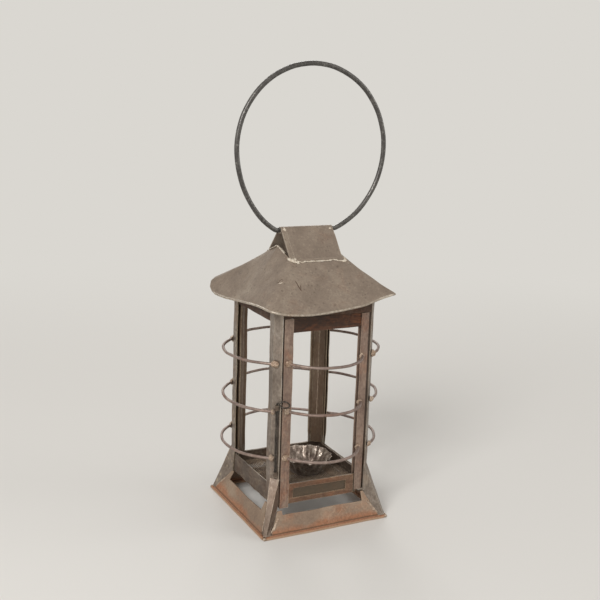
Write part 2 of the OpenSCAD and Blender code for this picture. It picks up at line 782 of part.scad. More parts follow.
module door_guard(z) {
    difference() {
        translate([door_mid, door_rad - h - guard_reach, z])
            rotate([0, 0, -90 - door_a - 4]) rotate_extrude(angle = 2 * door_a + 8, $fn = 128)
                translate([door_rad, 0]) circle(r = guard_r, $fn = 32);
        block([-body_w, door_y, z - guard_d], [body_w, 0, z + guard_d]);
    }
}

module door_guard_low() {
    color(iron) door_guard(guard_levels[0]);
}

module door_guard_mid() {
    color(iron) door_guard(guard_levels[1]);
}

module door_guard_top() {
    color(iron) door_guard(guard_levels[2]);
}

module door_guard_solder() {
    color(solder) for (z = guard_levels, side = [-1, 1]) difference() {
        translate([door_mid + side * door_half, door_y, z]) sphere(r = bead_r, $fn = 32);
        translate([door_mid + side * door_half, door_y, z]) rotate([90, 0, side * (door_a - 90)])
            cylinder(r = guard_r + 0.08, h = 4 * bead_r, center = true, $fn = 32);
        block([-body_w, door_y, z - 2 * bead_r], [body_w, 0, z + 2 * bead_r]);
    }
}

// Hinge pin with a small head under its ear
module hinge_pin() {
    color(iron) translate([hinge_x, hinge_y, 0]) {
        translate([0, 0, ear_top - ear_t - 1]) cylinder(r = pin_d / 2,
            h = flange_z + sheet_t + 1.5 - ear_top + ear_t + 1, $fn = 48);
        translate([0, 0, ear_top - ear_t - 1.1]) cylinder(r = pin_d / 2 + 0.3, h = 1, $fn = 48);
    }
}

module hinge_ear() {
    color(tin) difference() {
        union() {
            block([hinge_x - hinge_r, hinge_y - pin_d / 2 - 0.5, ear_top - ear_t],
                  [leg_in - inner_corner - touch, -h + 6, ear_top]);
            block([hinge_x, hinge_y, ear_top - ear_t], [leg_in - 0.1, -h + 6, ear_top]);
        }
        translate([hinge_x, hinge_y, ear_top - ear_t - 1])
            cylinder(r = pin_d / 2 + run_fit, h = ear_t + 2, $fn = 48);
    }
}

// Latch: an upright wire with an eye that turns across the door's stile
module latch_wire() {
    reach = sqrt(pow(eye_x - rod_x, 2) + pow(eye_y - rod_y, 2));
    turn = atan2(eye_y - rod_y, eye_x - rod_x);
    color(iron) {
        translate([rod_x, rod_y, rod_z]) cylinder(r = latch_r, h = latch_z - rod_z, $fn = 32);
        translate([rod_x, rod_y, latch_z]) {
            sphere(r = latch_r, $fn = 32);
            rotate([0, 90, turn]) cylinder(r = latch_r, h = reach - eye_r, $fn = 32);
        }
        translate([eye_x, eye_y, latch_z]) rotate_extrude($fn = 64)
            translate([eye_r, 0]) circle(r = latch_r, $fn = 32);
    }
}

// Two small sleeves that hold the latch wire against the corner face
module latch_keepers() {
    color(iron) for (z = [keeper_low, keeper_top])
        translate([rod_x, rod_y, z]) rotate([0, 0, 45]) linear_extrude(keeper_h) difference() {
            union() {
                circle(r = keeper_r, $fn = 48);
                translate([0, -1.1]) square([rod_off - 0.02, 2.2]);
            }
            circle(r = latch_r + run_fit, $fn = 48);
        }
}

ring_handle();
smoke_cap();
roof_hood();
post_front_left();
post_front_right();
post_rear_left();
post_rear_right();
skirt_front();
skirt_left();
skirt_right();
skirt_rear();
hem_corners();
rail_left();
rail_right();
rail_rear();
header_left();
header_right();
header_rear();
header_front();
floor_grid();
candle_dish();
dish_solder();
guard_left_low();
guard_left_mid();
guard_left_top();
guard_left_solder();
guard_right_low();
guard_right_mid();
guard_right_top();
guard_right_solder();
guard_rear_low();
guard_rear_mid();
guard_rear_top();
guard_rear_solder();
door_latch_stile();
door_hinge_stile();
door_top_rail();
door_bottom_rail();
door_guard_low();
door_guard_mid();
door_guard_top();
door_guard_solder();
hinge_pin();
hinge_ear();
latch_wire();
latch_keepers();
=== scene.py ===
import json
import math

import bmesh
import bpy
from mathutils import Matrix, Vector, noise
from mathutils.bvhtree import BVHTree
from mathutils.geometry import intersect_point_line

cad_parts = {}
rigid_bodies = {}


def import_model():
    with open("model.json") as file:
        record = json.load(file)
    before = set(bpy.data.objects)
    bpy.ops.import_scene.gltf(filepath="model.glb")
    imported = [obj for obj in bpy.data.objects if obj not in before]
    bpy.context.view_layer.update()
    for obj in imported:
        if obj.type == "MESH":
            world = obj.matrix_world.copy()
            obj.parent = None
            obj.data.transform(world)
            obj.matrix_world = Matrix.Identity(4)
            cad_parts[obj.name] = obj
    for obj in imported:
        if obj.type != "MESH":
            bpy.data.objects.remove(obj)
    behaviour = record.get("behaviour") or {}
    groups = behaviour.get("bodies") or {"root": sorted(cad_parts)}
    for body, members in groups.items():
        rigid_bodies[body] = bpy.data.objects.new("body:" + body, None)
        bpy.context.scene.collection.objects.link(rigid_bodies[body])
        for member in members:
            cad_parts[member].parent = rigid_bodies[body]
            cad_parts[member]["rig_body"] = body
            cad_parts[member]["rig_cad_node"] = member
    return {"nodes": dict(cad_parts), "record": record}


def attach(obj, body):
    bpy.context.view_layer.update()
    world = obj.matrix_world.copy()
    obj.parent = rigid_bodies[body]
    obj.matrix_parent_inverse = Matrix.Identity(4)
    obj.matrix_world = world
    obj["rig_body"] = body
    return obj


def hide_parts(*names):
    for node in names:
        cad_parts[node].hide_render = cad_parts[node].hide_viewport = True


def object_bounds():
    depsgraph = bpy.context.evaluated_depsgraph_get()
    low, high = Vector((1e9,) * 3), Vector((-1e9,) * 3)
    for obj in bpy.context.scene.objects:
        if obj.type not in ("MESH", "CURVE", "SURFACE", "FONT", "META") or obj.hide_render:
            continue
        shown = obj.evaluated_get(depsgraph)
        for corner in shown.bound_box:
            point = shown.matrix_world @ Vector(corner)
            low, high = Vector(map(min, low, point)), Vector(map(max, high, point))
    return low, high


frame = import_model()
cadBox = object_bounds()
nodes = frame["nodes"]
bodyOf = {node: body for body, members in frame["record"]["behaviour"]["bodies"].items() for node in members}
mm = 0.001
noise.seed_set(42)  # without a seed the hand work would differ from run to run
print("frame loaded:", len(nodes), "nodes")


# Colours are written as the eye sees them, and turned to linear light here
def toLinear(hexColour):
    parts = [int(hexColour[i:i + 2], 16) / 255 for i in (1, 3, 5)]
    return tuple(c / 12.92 if c <= 0.04045 else ((c + 0.055) / 1.055) ** 2.4 for c in parts) + (1,)


def addNode(tree, kind, inputs=None, stops=None, **settings):
    node = tree.nodes.new("ShaderNode" + kind)
    for key, value in settings.items():
        setattr(node, key, value)
    for key, value in (inputs or {}).items():
        if isinstance(value, bpy.types.NodeSocket):
            tree.links.new(value, node.inputs[key])
        else:
            node.inputs[key].default_value = value
    for number, (place, colour) in enumerate(stops or []):
        ramp = node.color_ramp.elements
        stop = ramp[number] if number < 2 else ramp.new(place)
        stop.position = place
        stop.color = colour if isinstance(colour, tuple) else (colour, colour, colour, 1)
    return node


# Tinplate is rolled sheet iron with a thin coat of tin. With age the coat goes from silver to a
# mottled taupe, is rubbed bright along the folds, and lets orange rust through in patches.
def agedSheet(name, look):
    made = bpy.data.materials.new(name)
    made.use_nodes = True
    tree = made.node_tree
    shader = tree.nodes["Principled BSDF"]
    place = addNode(tree, "TexCoord").outputs["Object"]
    drawn = addNode(tree, "Mapping", {"Vector": place, "Scale": look.get("stretch", (1, 1, 1))}).outputs[0]

    def ranged(value, low, high, start, end):
        return addNode(tree, "MapRange", {"Value": value, "From Min": low, "From Max": high, "To Min": start,
                                          "To Max": end}).outputs[0]

    def times(first, second):
        return addNode(tree, "Math", {0: first, 1: second}, operation="MULTIPLY").outputs[0]

    def plus(first, second):
        return addNode(tree, "Math", {0: first, 1: second}, operation="ADD").outputs[0]

    def over(share, below, above):
        return addNode(tree, "Mix", {0: share, 6: below, 7: above}, data_type="RGBA").outputs[2]

    # clouds of oxide, 10 to 30 mm across
    cloud = addNode(tree, "TexNoise", {"Vector": drawn, "Scale": look.get("cloudScale", 60), "Detail": 8,
                                       "Roughness": 0.62, "Distortion": 0.25}).outputs[0]
    # the finer grain of the tin coat, about 2 mm, drawn twice as coarse as it is so that it shows
    grain = addNode(tree, "TexNoise", {"Vector": drawn, "Scale": look.get("grainScale", 520), "Detail": 3,
                                       "Roughness": 0.75}).outputs[0]
    speck = look.get("speck", 0.16)
    tone = plus(ranged(cloud, 0.3, 0.7, 0.5 - look.get("clouds", 0.13), 0.5 + look.get("clouds", 0.13)),
                ranged(grain, 0.3, 0.7, -speck, speck))
    colour = addNode(tree, "ValToRGB", {"Fac": tone}, stops=[
        (0.3, toLinear(look["dark"])), (0.7, toLinear(look["light"])), (0.5, toLinear(look["mid"]))]).outputs[0]
    # rust grows in patches, more of it low down where the lantern stood wet
    patch = addNode(tree, "TexNoise", {"Vector": place, "Scale": look.get("rustScale", 34), "Detail": 9,
                                       "Roughness": 0.66, "Distortion": 0.4}).outputs[0]
    height = addNode(tree, "SeparateXYZ", {0: place}).outputs[2]
    spread = patch
    patch = plus(patch, ranged(height, 0, look.get("rustTo", 14) * mm, look.get("rustLow", 0), 0))
    rusty = ranged(patch, look["rustEdge"], look["rustEdge"] + 0.2, 0, look["rust"])
    rustTone = addNode(tree, "ValToRGB", {"Fac": grain}, stops=[
        (0.36, toLinear(look["rustDark"])), (0.64, toLinear(look["rustLight"]))]).outputs[0]
    colour = over(rusty, colour, rustTone)
    # flecks of bare tin and dark pits, 1 mm across, in a few of the cells of a 3 mm pattern
    cell = addNode(tree, "TexVoronoi", {"Vector": drawn, "Scale": look.get("fleckScale", 330)})
    kind = addNode(tree, "SeparateColor", {0: cell.outputs["Color"]}).outputs
    dot = ranged(cell.outputs["Distance"], 0.22, 0.42, 1, 0)
    colour = over(times(times(dot, ranged(kind[0], 0.72, 0.8, 0, 1)), look.get("flecks", 0.3)), colour,
                  toLinear(look["bare"]))
    colour = over(times(times(dot, ranged(kind[1], 0.76, 0.84, 0, 1)), look.get("pits", 0.35)), colour,
                  toLinear(look["soot"]))
    # scratches follow the contour lines of a stretched noise, drawn 0.5 mm wide so that they show
    run = addNode(tree, "Mapping", {"Vector": place, "Scale": look.get("scratchRun", (1, 1, 0.1)),
                                    "Rotation": (0.05, 0.03, 0)}).outputs[0]
    bump = addNode(tree, "TexNoise", {"Vector": run, "Scale": look.get("scratchScale", 95), "Detail": 1,
                                      "Roughness": 0.4}).outputs[0]
    off = addNode(tree, "Math", {0: plus(bump, -0.5)}, operation="ABSOLUTE").outputs[0]
    some = ranged(spread, 0.5, 0.58, 0, look.get("scratch", 0.15))
    colour = over(times(ranged(off, 0.004, 0.014, 1, 0), some), colour, toLinear(look["bare"]))
    # soot and dirt spots
    spots = addNode(tree, "TexNoise", {"Vector": place, "Scale": look.get("spotScale", 150), "Detail": 5,
                                       "Roughness": 0.6}).outputs[0]
    colour = over(ranged(spots, 0.56, 0.74, 0, look.get("dirt", 0.5)), colour, toLinear(look["soot"]))
    # painted shade: the inner faces of the posts, rails and rear corner linings are darkened as the inside of the
    # lantern; the same mask gives the door's recessed panel and the foot by the latch a darker tint
    inside = addNode(tree, "Attribute", attribute_name="inside").outputs["Fac"]
    colour = over(times(inside, look.get("innerShare", 0.75)), colour, toLinear(look.get("inner", look["soot"])))
    # painted shade: corners and gaps close to other parts are darkened by ambient occlusion, in the soot colour
    openToLight = addNode(tree, "AmbientOcclusion", {"Distance": look.get("grimeReach", 5) * mm}, samples=6).outputs["AO"]
    colour = over(ranged(openToLight, 0.25, 0.8, look.get("grime", 0.5), 0), colour, toLinear(look["soot"]))
    # folds and cut edges are rubbed bright
    rounded = addNode(tree, "Bevel", {"Radius": look.get("rubWidth", 0.9) * mm}, samples=4).outputs[0]
    flat = addNode(tree, "NewGeometry").outputs["Normal"]
    same = addNode(tree, "VectorMath", {0: rounded, 1: flat}, operation="DOT_PRODUCT").outputs["Value"]
    rub = times(ranged(same, 0.72, 0.97, 1, 0), ranged(cloud, 0.36, 0.55, 0.25, 1))
    # a pale band low on the skirt's rolled hem: partly rubbed bare, partly a painted highlight along the roll
    hem = ranged(height, look.get("hemTop", 0) * mm, (look.get("hemTop", 0) + 1.2) * mm, look.get("hemRub", 0), 0)
    rub = times(addNode(tree, "Math", {0: rub, 1: hem}, operation="MAXIMUM").outputs[0], look.get("rub", 0.6))
    colour = over(rub, colour, toLinear(look["bare"]))
    if "hemLine" in look:  # painted shade in the groove above the rolled hem
        grooveShade = addNode(tree, "Math", {0: plus(height, -look["hemLine"] * mm)}, operation="ABSOLUTE").outputs[0]
        colour = over(ranged(grooveShade, 0.2 * mm, 0.8 * mm, 0.75, 0), colour, toLinear(look["soot"]))
    tree.links.new(colour, shader.inputs["Base Color"])
    # rust is matt, the rubbed tin keeps some gloss
    gloss = ranged(tone, 0.3, 0.7, look["rough"] + 0.1, look["rough"] - 0.08)
    gloss = addNode(tree, "Mix", {0: rusty, 2: gloss, 3: 0.82}).outputs[0]
    tree.links.new(gloss, shader.inputs["Roughness"])
    shader.inputs["Metallic"].default_value = look["metallic"]
    relief = plus(grain, cloud)
    pits = addNode(tree, "Bump", {"Height": relief, "Strength": look.get("bump", 0.35),
                                  "Distance": 0.25 * mm}).outputs[0]
    tree.links.new(pits, shader.inputs["Normal"])
    return made


sheetLooks = {
    "hoodTinplate": {
        "dark": "#786a5d", "mid": "#87786a", "light": "#9b8d7d", "rustDark": "#6f5341", "rustLight": "#947059",
        "soot": "#453a31", "bare": "#c6baa7", "rust": 0.45, "rustEdge": 0.55, "rough": 0.5, "metallic": 0.4,
        "clouds": 0.16, "speck": 0.09, "dirt": 0.22, "cloudScale": 45, "rub": 0.6, "rubWidth": 1.4, "grime": 0.3,
        "scratchRun": (1, 1, 1), "scratch": 0.12, "flecks": 0.12, "pits": 0.35, "spotScale": 260, "inner": "#51463c",
        "fleckScale": 380},
    # the rolled lower edge of the hood, paler than the hood: partly rubbed bright, partly a painted highlight along the
    # bead
    "eaveTinplate": {
        "dark": "#867869", "mid": "#a5998a", "light": "#c8bdae", "rustDark": "#725542", "rustLight": "#99755c",
        "soot": "#4e4136", "bare": "#d6ccbc", "rust": 0.55, "rustEdge": 0.54, "rough": 0.42, "metallic": 0.4,
        "dirt": 0.2, "rub": 0.3, "grime": 0.15},
    "postTinplate": {
        "dark": "#695e54", "mid": "#807469", "light": "#9d9287", "rustDark": "#77594a", "rustLight": "#9a755c",
        "soot": "#4b3f37", "bare": "#cdc0ad", "rust": 0.55, "rustEdge": 0.54, "rough": 0.42, "metallic": 0.6,
        "stretch": (1, 1, 0.5), "dirt": 0.22, "rub": 0.8, "cloudScale": 60, "clouds": 0.16, "speck": 0.13, "bump": 0.2,
        "flecks": 0.12, "pits": 0.2, "inner": "#5b4331", "innerShare": 0.8, "scratch": 0.3, "spotScale": 110},
    # the rear posts: warm brown with pale flecks, their inner sides darkened as painted shade
    "rearPostTinplate": {
        "dark": "#6c6054", "mid": "#80746a", "light": "#9a8e80", "rustDark": "#704f38", "rustLight": "#97704f",
        "soot": "#4b3f34", "bare": "#cbbd9f", "rust": 0.6, "rustEdge": 0.52, "rough": 0.44, "metallic": 0.5,
        "stretch": (1, 1, 0.5), "dirt": 0.25, "rub": 0.9, "cloudScale": 60, "clouds": 0.16, "speck": 0.15, "bump": 0.2,
        "flecks": 0.4, "pits": 0.3, "inner": "#664c34", "innerShare": 0.65, "grime": 0.3, "fleckScale": 420},
    "railTinplate": {
        "dark": "#463a31", "mid": "#5a4c41", "light": "#756759", "rustDark": "#583f32", "rustLight": "#7b5b44",
        "soot": "#3b3029", "bare": "#b9aa96", "rust": 0.6, "rustEdge": 0.52, "rough": 0.48, "metallic": 0.5,
        "stretch": (0.6, 0.6, 1), "dirt": 0.3, "rub": 0.7, "cloudScale": 70, "clouds": 0.16, "speck": 0.14, "bump": 0.2,
        "flecks": 0.25, "pits": 0.3, "scratchRun": (0.15, 0.15, 1), "scratch": 0.12, "inner": "#5d5047",
        "innerShare": 0.6, "grime": 0.35},
    # the headers under the eave: dark rust brown, made darker still as painted shade from the eave
    "headerTinplate": {
        "dark": "#38291f", "mid": "#483529", "light": "#5f4a3b", "rustDark": "#452d1f", "rustLight": "#6f4a34",
        "soot": "#251c16", "bare": "#8c7863", "rust": 0.7, "rustEdge": 0.46, "rough": 0.6, "metallic": 0.3,
        "dirt": 0.5, "rub": 0.4, "inner": "#3a2d25", "speck": 0.1, "flecks": 0.12, "stretch": (0.4, 0.4, 1)},
    "skirtTinplate": {
        "dark": "#7c6858", "mid": "#8b7663", "light": "#9d8975", "rustDark": "#8b5c40", "rustLight": "#ac7350",
        "soot": "#54402f", "bare": "#cbb398", "rust": 0.75, "rustEdge": 0.52, "rustLow": 0.42, "rustTo": 10,
        "rough": 0.52, "metallic": 0.3, "dirt": 0.15, "rub": 0.75, "cloudScale": 28, "clouds": 0.2, "rustScale": 18,
        "speck": 0.08, "flecks": 0.1, "pits": 0.15, "hemTop": 1.2, "hemRub": 0.7, "hemLine": 3.7, "inner": "#54412f"},
    "doorTinplate": {
        "dark": "#6b564b", "mid": "#846f62", "light": "#a08b7b", "rustDark": "#78523f", "rustLight": "#a07053",
        "soot": "#463429", "bare": "#c2ad97", "rust": 0.7, "rustEdge": 0.51, "rough": 0.5, "metallic": 0.35,
        "stretch": (1, 1, 0.5), "dirt": 0.25, "rub": 0.7, "cloudScale": 60, "clouds": 0.15, "speck": 0.12, "bump": 0.2,
        "flecks": 0.15, "pits": 0.2, "inner": "#5a4436", "scratch": 0.25},
    # the door's bottom rail has a bare panel, dark and olive, in an orange brown frame
    "panelTinplate": {
        "dark": "#4f3b2d", "mid": "#6a4f3d", "light": "#8b6e57", "rustDark": "#6d432d", "rustLight": "#9a6443",
        "soot": "#3a2b22", "bare": "#c2aa8d", "rust": 0.75, "rustEdge": 0.5, "rough": 0.52, "metallic": 0.3,
        "stretch": (0.5, 1, 1), "dirt": 0.3, "rub": 0.8, "clouds": 0.18, "speck": 0.12, "inner": "#4f4638",
        "innerShare": 0.8, "grimeReach": 2.5, "flecks": 0.15, "scratchRun": (0.12, 1, 1)},
    # the door's top rail: dark rust brown, made darker still as painted shade under the eave
    "doorTopTinplate": {
        "dark": "#2e1e15", "mid": "#3e291c", "light": "#573c2b", "rustDark": "#42281a", "rustLight": "#7c4b2e",
        "soot": "#261b15", "bare": "#8a705a", "rust": 0.85, "rustEdge": 0.45, "rough": 0.6, "metallic": 0.25,
        "dirt": 0.4, "rub": 0.45, "cloudScale": 70, "inner": "#33251d", "speck": 0.1, "flecks": 0.1,
        "stretch": (0.3, 0.3, 1)},
    # iron wire: drawn, never tinned, gone a purplish brown with rubbed highlights
    "brownedWire": {
        "dark": "#6c5b53", "mid": "#86746b", "light": "#a08e82", "rustDark": "#6f5040", "rustLight": "#966e57",
        "soot": "#3f322c", "bare": "#b09b89", "rust": 0.6, "rustEdge": 0.53, "rough": 0.46, "metallic": 0.4,
        "dirt": 0.3, "rub": 0, "cloudScale": 90, "grime": 0.25, "speck": 0.1, "flecks": 0.1},
    # the ring is thicker wire worn smooth by hands, dark grey with an olive cast
    "ringWire": {
        "dark": "#3f3c3a", "mid": "#54514e", "light": "#716e69", "rustDark": "#50423a", "rustLight": "#76624f",
        "soot": "#2e2b28", "bare": "#a3a199", "rust": 0.35, "rustEdge": 0.58, "rough": 0.38, "metallic": 0.6,
        "dirt": 0.3, "rub": 0, "cloudScale": 80, "grime": 0.3, "speck": 0.14},
    "latchIronWire": {
        "dark": "#292420", "mid": "#3d3731", "light": "#655d53", "rustDark": "#382b23", "rustLight": "#5b4737",
        "soot": "#221d19", "bare": "#a39889", "rust": 0.4, "rustEdge": 0.55, "rough": 0.36, "metallic": 0.5,
        "dirt": 0.3, "rub": 0, "cloudScale": 120, "grimeReach": 2, "grime": 0.3},
    # woven iron wire cloth, dusty and brown
    "wireCloth": {
        "dark": "#564a40", "mid": "#7c6b5a", "light": "#a49078", "rustDark": "#5b4331", "rustLight": "#876748",
        "soot": "#382d24", "bare": "#b19c83", "rust": 0.45, "rustEdge": 0.52, "rough": 0.8, "metallic": 0.05,
        "dirt": 0.3, "rub": 0, "grime": 0.1, "grimeReach": 1, "bump": 0},
    # bright tinplate that never rusted, stained pinkish brown by wax and heat
    "stampedTinplate": {
        "dark": "#61534a", "mid": "#887a6f", "light": "#b4a99d", "rustDark": "#594839", "rustLight": "#7b6654",
        "soot": "#463a30", "bare": "#e2dacb", "rust": 0.65, "rustEdge": 0.5, "rough": 0.33, "metallic": 0.72,
        "dirt": 0.6, "rub": 0.8, "rubWidth": 0.5, "cloudScale": 120, "grime": 0.3, "bump": 0.25, "clouds": 0.2,
        "rustLow": 0.1, "rustTo": 42},
    # soft solder, tin and lead, run on with an iron: tan, lumpy and dull
    "softSolder": {
        "dark": "#84705f", "mid": "#a18c79", "light": "#c4b4a0", "rustDark": "#86664e", "rustLight": "#a58164",
        "soot": "#5d4a3b", "bare": "#d9ccb8", "rust": 0.6, "rustEdge": 0.5, "rough": 0.42, "metallic": 0.3,
        "dirt": 0.3, "rub": 0, "cloudScale": 200, "grimeReach": 2.5, "grime": 0.35, "bump": 0.4, "pits": 0.15},
    # the same solder where it has been knocked clean, nearly white
    "cleanSolder": {
        "dark": "#a08f7d", "mid": "#c4b7a5", "light": "#e2d9ca", "rustDark": "#927660", "rustLight": "#b19478",
        "soot": "#6b5a4a", "bare": "#ece4d6", "rust": 0.4, "rustEdge": 0.55, "rough": 0.4, "metallic": 0.2,
        "dirt": 0.2, "rub": 0, "cloudScale": 200, "grimeReach": 1.5, "grime": 0.3, "bump": 0.3, "pits": 0.1},
}
finish = {name: agedSheet(name, look) for name, look in sheetLooks.items()}
print("materials made:", len(finish))


# Nothing on the lantern is quite flat: one slow bend and one small dent run through all of it,
# so that pieces which touch still touch. They fade out at the three pivots.
handWork = {"bend": 0.55, "bendLength": 55, "dent": 0.3, "dentLength": 13, "cut": 4.0, "restBelow": 14}
pivots = [  # two points of an axis, where the hand work starts, where it is full, all in mm
    ((-30, 0, 266.07), (30, 0, 266.07), 3, 12),
    ((40.5, -47.9, 24), (40.5, -47.9, 200), 3, 11),
    ((-47.74, -49.51, 50), (-47.74, -49.51, 123), 2.5, 9),
]
pivots = [(Vector(a) * mm, Vector(b) * mm, near * mm, far * mm) for a, b, near, far in pivots]


def eased(share):
    share = min(1, max(0, share))
    return share * share * (3 - 2 * share)


def kept(point):  # never outside the CAD's box
    return Vector([min(cadBox[1][axis], max(cadBox[0][axis], point[axis])) for axis in range(3)])


def handMoved(point, amount=1.0):
    steady = 1.0
    for a, b, near, far in pivots:
        along = min(1, max(0, intersect_point_line(point, a, b)[1]))
        steady = min(steady, ((a + (b - a) * along) - point).length / far - near / far)
    steady = eased(steady * 1.3) * amount
    slow = noise.noise_vector(point / (handWork["bendLength"] * mm)) * handWork["bend"] * mm
    quick = noise.noise_vector(point / (handWork["dentLength"] * mm) + Vector((7, 3, 5))) * handWork["dent"] * mm
    move = (slow + quick) * steady
    move.z *= eased(point.z / (handWork["restBelow"] * mm))
    return kept(point + move)


def meshOf(node):
    work = bmesh.new()
    work.from_mesh(nodes[node].data)
    bmesh.ops.remove_doubles(work, verts=work.verts, dist=0.002 * mm)
    return work


def cutUp(work, size):
    # a regular lattice of cuts gives the bends somewhere to happen
    for axis in range(3):
        places = [vert.co[axis] for vert in work.verts]
        first, last = min(places), max(places)
        count = int((last - first) / (size * mm))
        for step in range(1, count + 1):
            through = Vector((0, 0, 0))
            through[axis] = first + step * (last - first) / (count + 1)
            facing = Vector((0, 0, 0))
            facing[axis] = 1
            bmesh.ops.bisect_plane(work, geom=work.verts[:] + work.edges[:] + work.faces[:], dist=0.0005 * mm,
                                   plane_co=through, plane_no=facing)


def addPiece(name, work, body, material, replaced=(), sharp=32):
    for face in work.faces:
        face.smooth = True
    for edge in work.edges:
        edge.smooth = edge.calc_face_angle(0) < math.radians(sharp)
    mesh = bpy.data.meshes.new(name)
    work.to_mesh(mesh)
    work.free()
    mesh.materials.append(material)
    piece = bpy.data.objects.new(name, mesh)
    bpy.context.scene.collection.objects.link(piece)
    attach(piece, body)
    if replaced:
        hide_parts(*replaced)
    return piece


def pieceName(node):
    first, *rest = node.split("_")
    return first + "".join(word.capitalize() for word in rest)


def handMade(node, material, cut=None, amount=1.0, extra=None, sharp=32, inner=None):
    work = meshOf(node)
    cutUp(work, cut or handWork["cut"])
    inside = work.verts.layers.float.new("inside")
    for vert in work.verts:
        here = vert.co.copy()
        vert[inside] = float(inner(here / mm)) if inner else 0.0
        vert.co = handMoved(here, amount)
        if extra:
            vert.co += extra(here)
    return addPiece(pieceName(node), work, bodyOf[node], material, [node], sharp)


hoodMarks = [  # small knocks in the hood: x, y, radius and depth in mm
    (-41, -36.2, 4, 0.7), (-26, -43.5, 4.5, 0.6), (28, -44, 5, 0.6), (-45, -20, 5, 0.7), (-48, 22, 4, 0.6),
    (12, -34, 4, 0.4), (44, 12, 5, 0.7), (10, 46, 5, 0.6), (-18, 38, 4, -0.5),
]


def hoodKnock(point):
    drop = 0
    for x, y, radius, depth in hoodMarks:
        away = math.hypot(point.x / mm - x, point.y / mm - y) / radius
        if away < 1:
            drop += depth * (1 - away * away) ** 2
    return Vector((0, 0, -drop * mm))


def wavyRail(point):  # the low edge of a rail was snipped by hand
    low = eased((31 - point.z / mm) / 6)
    along = point.x if abs(point.y) > abs(point.x) else point.y
    wave = math.sin(along / mm * 0.31 + 1) * 0.45 + math.sin(along / mm * 0.83) * 0.3
    return Vector((0, 0, wave * low * mm))


def wavySkirt(point):  # the skirt's top edge was cut by eye
    top = eased((point.z / mm - 9) / 8)
    ends = eased((44 - min(abs(point.x), abs(point.y)) / mm) / 10)
    wave = math.sin(point.x / mm * 0.13 + point.y / mm * 0.11) * 0.3
    return Vector((0, 0, wave * top * ends * mm))


# where a post gets painted shade: its inner faces inside the lantern
def innerPost(point):  # above the kink, behind the outer faces of the legs and the corner
    if point.z < 51 and point.x < 0 and point.y < 0:
        return 0.55  # the foot by the latch is darker than the others
    return point.z > 48 and max(abs(point.x), abs(point.y)) < 49.5 and abs(point.x) + abs(point.y) < 93.5


# a rail's inner faces get painted shade
def innerRail(point):
    return max(abs(point.x), abs(point.y)) < 48.6


# the door's recessed panel, which gets its own dark tint
def innerPanel(point):
    return point.y > -49.6


handMade("roof_hood", finish["hoodTinplate"], cut=4, amount=1.3, extra=hoodKnock, sharp=40)
handMade("smoke_cap", finish["hoodTinplate"], cut=3.5)
for node in ("post_front_left", "post_front_right"):
    handMade(node, finish["postTinplate"], inner=innerPost, sharp=14)
for node in ("post_rear_left", "post_rear_right"):
    handMade(node, finish["rearPostTinplate"], inner=innerPost, sharp=14)
for node in ("rail_left", "rail_right", "rail_rear"):
    handMade(node, finish["railTinplate"], cut=3, extra=wavyRail, inner=innerRail)
for node in ("header_left", "header_right", "header_rear", "header_front"):
    handMade(node, finish["headerTinplate"])
for node in ("skirt_front", "skirt_left", "skirt_right", "skirt_rear"):
    handMade(node, finish["skirtTinplate"], extra=wavySkirt)
for node in ("door_latch_stile", "door_hinge_stile"):
    handMade(node, finish["doorTinplate"], amount=0.8)
handMade("door_bottom_rail", finish["panelTinplate"], cut=3, amount=0.8, inner=innerPanel)
handMade("door_top_rail", finish["doorTopTinplate"], amount=0.8)
handMade("hinge_ear", finish["postTinplate"], amount=0.6)
print("sheet metal made")


guardNodes = [node for node in nodes if "guard_" in node and not node.endswith("solder")]
for node in guardNodes:
    handMade(node, finish["brownedWire"], cut=6, sharp=60)
handMade("ring_handle", finish["ringWire"], cut=8, amount=0.7, sharp=60)
for node, material in (("hinge_pin", "latchIronWire"), ("latch_keepers", "railTinplate"), ("hem_corners", "softSolder"),
                       ("dish_solder", "softSolder")):
    nodes[node].data.materials.clear()
    nodes[node].data.materials.append(finish[material])
print("wires made:", len(guardNodes) + 1)


def ringOf(verts):
    return list(dict.fromkeys(edge for vert in verts for edge in vert.link_edges if edge.other_vert(vert) in verts))


def sweepWire(points, radius, sides, closed=False):
    # one round wire: a ring of points pushed along the path
    work = bmesh.new()
    last = len(points) - 1
    ahead = []
    for i in range(len(points)):
        before, after = (i - 1 if i or closed else 0), ((i + 1) % (last + 1) if i < last or closed else last)
        ahead.append((points[after] - points[before]).normalized())
    turn = Vector((0, 0, 1)).rotation_difference(ahead[0])
    ring = bmesh.ops.create_circle(work, cap_ends=not closed, segments=sides, radius=radius,
                                   matrix=Matrix.Translation(points[0]) @ turn.to_matrix().to_4x4())["verts"]
    first = ringOf(ring)
    for i in range(1, len(points)):
        grown = bmesh.ops.extrude_edge_only(work, edges=ringOf(ring))["geom"]
        ring = [part for part in grown if isinstance(part, bmesh.types.BMVert)]
        bmesh.ops.translate(work, verts=ring, vec=points[i] - points[i - 1])
        bend = ahead[i - 1].rotation_difference(ahead[i]).to_matrix()
        bmesh.ops.rotate(work, verts=ring, cent=points[i], matrix=bend)
    if closed:
        bmesh.ops.bridge_loops(work, edges=first + ringOf(ring))
    else:
        bmesh.ops.contextual_create(work, geom=ring)
    bmesh.ops.recalc_face_normals(work, faces=work.faces[:])
    return work


# The latch is a wire bent double: two legs side by side in the sleeves, and a drop-shaped eye
latchSize = {"x": -47.742, "y": -49.51, "low": 51.6, "high": 119.2, "wire": 0.62, "apart": 0.56, "legTurn": -27,
             "eyeX": -43.9, "eyeY": -56.1, "eyeZ": 121.9, "eye": 4.5, "eyeWire": 0.85, "tilt": 19, "sides": 12}


